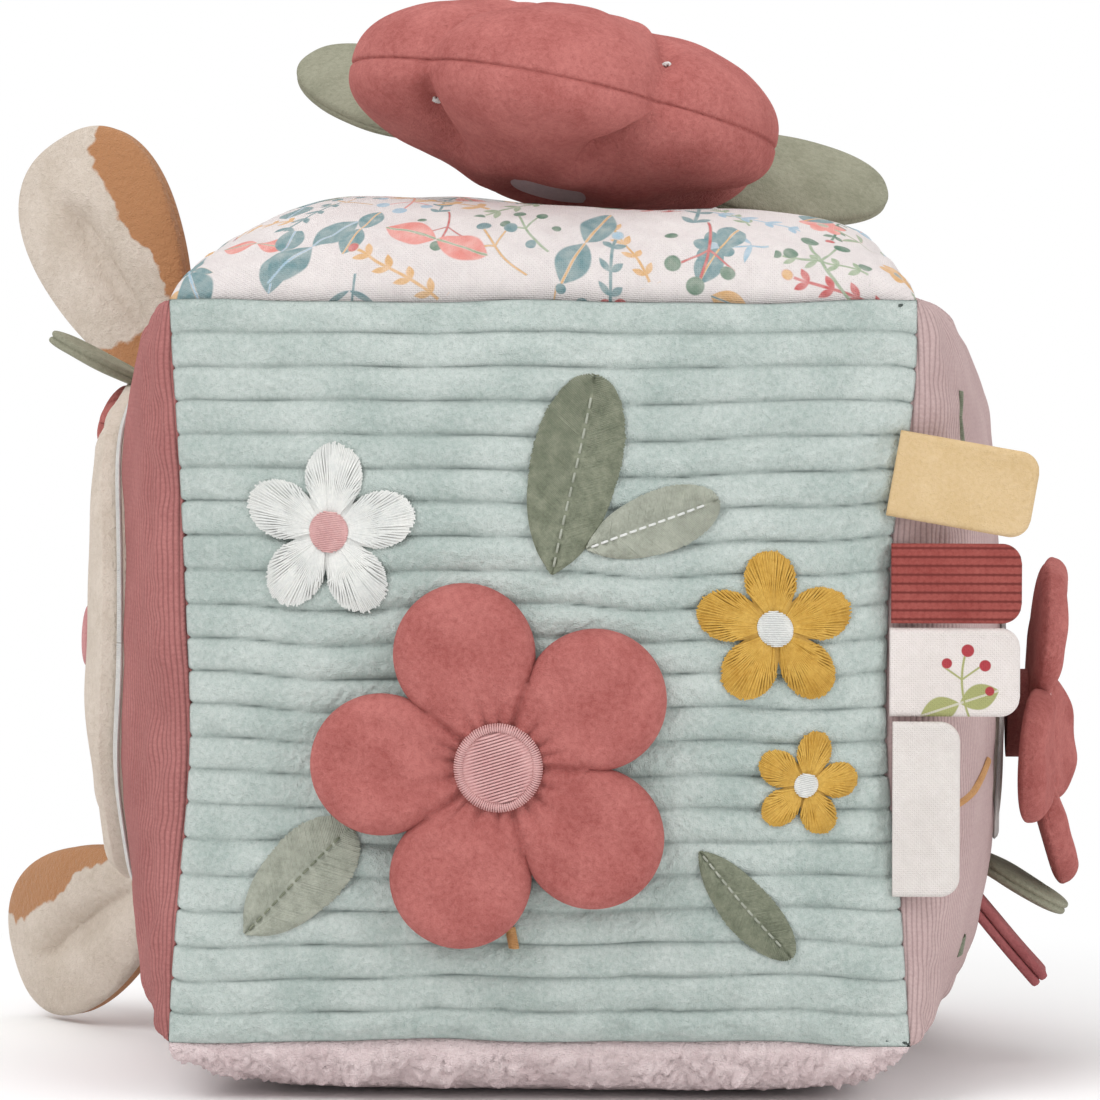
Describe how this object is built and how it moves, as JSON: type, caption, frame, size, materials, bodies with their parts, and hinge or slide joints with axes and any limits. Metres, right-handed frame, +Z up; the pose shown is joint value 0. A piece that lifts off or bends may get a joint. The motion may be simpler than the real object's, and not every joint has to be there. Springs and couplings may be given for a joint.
{
  "type": "soft fabric activity block",
  "caption": "Stuffed fabric cube for a baby, with a plush flower on its front, a stuffed flower on top, an animal head with loose ears on one side and fabric tabs in one seam.",
  "frame": {"origin": "middle of the bottom panel's flat, on the surface that the block stands on", "axes": "+Z up, the corduroy front panel faces -Y, the seam with the tabs is at +X, the animal head faces -X"},
  "size_m": [0.236, 0.1759, 0.2225],
  "materials": {
    "corduroy": "wide-wale plush corduroy, matt",
    "printed_cotton": "plain weave with a printed pattern",
    "rose_rib": "fine rib knit",
    "pink_rib": "fine rib knit",
    "plain_cotton": "plain weave",
    "teddy": "curled teddy plush",
    "fibre": "loose polyester fibre",
    "coral_plush": "short plush",
    "pale_satin": "satin",
    "white_stitch": "satin stitch",
    "mustard_stitch": "satin stitch",
    "dark_green_stitch": "satin stitch",
    "light_green_stitch": "satin stitch",
    "orange_stitch": "satin stitch",
    "yellow_plush": "short plush",
    "red_rib": "ribbed ribbon",
    "white_tape": "woven tape",
    "rose_tape": "folded knit",
    "sage_plush": "short plush",
    "cream_plush": "short plush",
    "brown_plush": "short plush",
    "nose_pink": "satin stitch"
  },
  "bodies": {
    "block": {"stuffing_core": "fibre", "panel_front": "corduroy", "panel_back": "plain_cotton", "panel_left": "rose_rib", "panel_right": "pink_rib", "panel_top": "printed_cotton", "panel_bottom": "teddy", "white_flower": "white_stitch", "white_flower_eye": "pale_satin", "mustard_flower_large": "mustard_stitch", "mustard_flower_large_eye": "white_stitch", "mustard_flower_small": "mustard_stitch", "mustard_flower_small_eye": "white_stitch", "leaf_dark_large": "dark_green_stitch", "leaf_light": "light_green_stitch", "leaf_dark_small": "dark_green_stitch", "leaf_light_low": "light_green_stitch", "stem_orange": "orange_stitch", "front_flower_hub": "coral_plush", "front_flower_disc": "pale_satin", "right_round": "cream_plush", "right_flower_hub": "coral_plush", "right_flower_disc": "pale_satin", "head_base": "white_stitch", "head_pad": "cream_plush", "head_crown": "brown_plush", "head_nose": "nose_pink", "head_bloom": "coral_plush"},
    "front_petal_1": {"front_flower_petal_1": "coral_plush"},
    "front_petal_2": {"front_flower_petal_2": "coral_plush"},
    "front_petal_3": {"front_flower_petal_3": "coral_plush"},
    "front_petal_4": {"front_flower_petal_4": "coral_plush"},
    "front_petal_5": {"front_flower_petal_5": "coral_plush"},
    "right_petal_1": {"right_flower_petal_1": "coral_plush"},
    "right_petal_2": {"right_flower_petal_2": "coral_plush"},
    "right_petal_3": {"right_flower_petal_3": "coral_plush"},
    "right_petal_4": {"right_flower_petal_4": "coral_plush"},
    "right_petal_5": {"right_flower_petal_5": "coral_plush"},
    "tab_yellow": {"tab_yellow": "yellow_plush"},
    "tab_red": {"tab_red": "red_rib"},
    "tab_white": {"tab_white": "white_tape"},
    "tab_plain": {"tab_plain": "white_tape"},
    "ear_upper": {"ear_upper_back": "brown_plush", "ear_upper_lining": "cream_plush"},
    "ear_lower": {"ear_lower_back": "brown_plush", "ear_lower_lining": "cream_plush"},
    "head_leaf": {"head_leaf": "sage_plush"},
    "right_leaf": {"right_leaf": "sage_plush"},
    "right_strap": {"right_strap": "rose_tape"},
    "top_tether": {"top_tether": "sage_plush"},
    "top_flower": {"top_flower": "coral_plush", "top_flower_disc": "pale_satin", "top_flower_disc_under": "pale_satin"},
    "top_leaf_left": {"top_leaf_left": "sage_plush"},
    "top_leaf_right": {"top_leaf_right": "sage_plush"}
  },
  "joints": [
    {"name": "front_petal_1_lift", "type": "hinge", "parent": "block", "child": "front_petal_1", "pos_m": [-0.0126, -0.0853, 0.08371], "axis": [0.9563, 0, 0.2924], "range_deg": [0, 45], "stiffness_Nm_per_rad": 0.02, "springref_deg": -5.73},
    {"name": "front_petal_2_lift", "type": "hinge", "parent": "block", "child": "front_petal_2", "pos_m": [-0.02332, -0.0853, 0.06949], "axis": [0.0175, 0, 0.9998], "range_deg": [0, 45], "stiffness_Nm_per_rad": 0.02, "springref_deg": -5.73},
    {"name": "front_petal_3_lift", "type": "hinge", "parent": "block", "child": "front_petal_3", "pos_m": [-0.01311, -0.0853, 0.0549], "axis": [-0.9455, 0, 0.3256], "range_deg": [0, 45], "stiffness_Nm_per_rad": 0.02, "springref_deg": -5.73},
    {"name": "front_petal_4_lift", "type": "hinge", "parent": "block", "child": "front_petal_4", "pos_m": [0.00392, -0.0853, 0.06011], "axis": [-0.6018, 0, -0.7986], "range_deg": [0, 45], "stiffness_Nm_per_rad": 0.02, "springref_deg": -5.73},
    {"name": "front_petal_5_lift", "type": "hinge", "parent": "block", "child": "front_petal_5", "pos_m": [0.00424, -0.0853, 0.07791], "axis": [0.5736, 0, -0.8192], "range_deg": [0, 45], "stiffness_Nm_per_rad": 0.02, "springref_deg": -5.73},
    {"name": "right_petal_1_lift", "type": "hinge", "parent": "block", "child": "right_petal_1", "pos_m": [0.10133, 0.01288, 0.08523], "axis": [0, 0.809, -0.5878], "range_deg": [-8, 33], "stiffness_Nm_per_rad": 0.02},
    {"name": "right_petal_2_lift", "type": "hinge", "parent": "block", "child": "right_petal_2", "pos_m": [0.10133, -0.00493, 0.08523], "axis": [0, 0.809, 0.5878], "range_deg": [-6, 35], "stiffness_Nm_per_rad": 0.02},
    {"name": "right_petal_3_lift", "type": "hinge", "parent": "block", "child": "right_petal_3", "pos_m": [0.10133, -0.01043, 0.06829], "axis": [0, -0.309, 0.9511], "range_deg": [-8, 33], "stiffness_Nm_per_rad": 0.02},
    {"name": "right_petal_4_lift", "type": "hinge", "parent": "block", "child": "right_petal_4", "pos_m": [0.10133, 0.00397, 0.05782], "axis": [0, -1, 0], "range_deg": [-6, 25], "stiffness_Nm_per_rad": 0.02},
    {"name": "right_petal_5_lift", "type": "hinge", "parent": "block", "child": "right_petal_5", "pos_m": [0.10133, 0.01838, 0.06829], "axis": [0, -0.309, -0.9511], "range_deg": [-16, 25], "stiffness_Nm_per_rad": 0.02},
    {"name": "tab_yellow_flap", "type": "hinge", "parent": "block", "child": "tab_yellow", "pos_m": [0.0719, -0.07355, 0.1267], "axis": [0.1736, 0, 0.9848], "range_deg": [-100, 30], "stiffness_Nm_per_rad": 0.01},
    {"name": "tab_red_flap", "type": "hinge", "parent": "block", "child": "tab_red", "pos_m": [0.07159, -0.0721, 0.10504], "axis": [0, 0, 1], "range_deg": [-100, 30], "stiffness_Nm_per_rad": 0.01},
    {"name": "tab_white_flap", "type": "hinge", "parent": "block", "child": "tab_white", "pos_m": [0.0713, -0.07157, 0.08734], "axis": [0, 0, 1], "range_deg": [-100, 30], "stiffness_Nm_per_rad": 0.01},
    {"name": "tab_plain_flap", "type": "hinge", "parent": "block", "child": "tab_plain", "pos_m": [0.07194, -0.07325, 0.06009], "axis": [0, 0, 1], "range_deg": [-100, 12], "stiffness_Nm_per_rad": 0.01},
    {"name": "ear_upper_bend", "type": "hinge", "parent": "block", "child": "ear_upper", "pos_m": [-0.0877, 0.01597, 0.147], "axis": [-0.8293, 0.2588, -0.4953], "range_deg": [-30, 18], "stiffness_Nm_per_rad": 0.08},
    {"name": "ear_lower_bend", "type": "hinge", "parent": "block", "child": "ear_lower", "pos_m": [-0.08886, 0.012, 0.033], "axis": [0.2904, -0.2124, -0.933], "range_deg": [-25, 15], "stiffness_Nm_per_rad": 0.08},
    {"name": "head_leaf_flap", "type": "hinge", "parent": "block", "child": "head_leaf", "pos_m": [-0.09071, -0.00596, 0.14444], "axis": [0, -1, 0], "range_deg": [-25, 20], "stiffness_Nm_per_rad": 0.02},
    {"name": "right_leaf_flap", "type": "hinge", "parent": "block", "child": "right_leaf", "pos_m": [0.08972, 0.006, 0.04125], "axis": [0, 1, 0], "range_deg": [-5, 10], "stiffness_Nm_per_rad": 0.02},
    {"name": "right_strap_flap", "type": "hinge", "parent": "block", "child": "right_strap", "pos_m": [0.08854, -0.00398, 0.033], "axis": [0, 1, 0], "range_deg": [-6, 20], "stiffness_Nm_per_rad": 0.02},
    {"name": "top_tether_rock", "type": "hinge", "parent": "block", "child": "top_tether", "pos_m": [-0.00184, -0.0092, 0.17658], "axis": [1, 0, 0], "range_deg": [0, 12], "stiffness_Nm_per_rad": 0.3, "springref_deg": -5.73},
    {"name": "top_flower_tilt", "type": "hinge", "parent": "top_tether", "child": "top_flower", "pos_m": [-0.00184, -0.0092, 0.18182], "axis": [0, 1, 0], "range_deg": [-16, 0], "stiffness_Nm_per_rad": 0.3, "springref_deg": 5.73},
    {"name": "top_leaf_left_flap", "type": "hinge", "parent": "top_flower", "child": "top_leaf_left", "pos_m": [-0.02304, 0.01506, 0.1995], "axis": [-0.6127, -0.6302, -0.4769], "range_deg": [-12, 12], "stiffness_Nm_per_rad": 0.03},
    {"name": "top_leaf_right_flap", "type": "hinge", "parent": "top_flower", "child": "top_leaf_right", "pos_m": [0.02474, 0.01506, 0.18969], "axis": [-0.1817, 0.6918, 0.6989], "range_deg": [-10, 0], "stiffness_Nm_per_rad": 0.03, "springref_deg": 2.86}
  ]
}
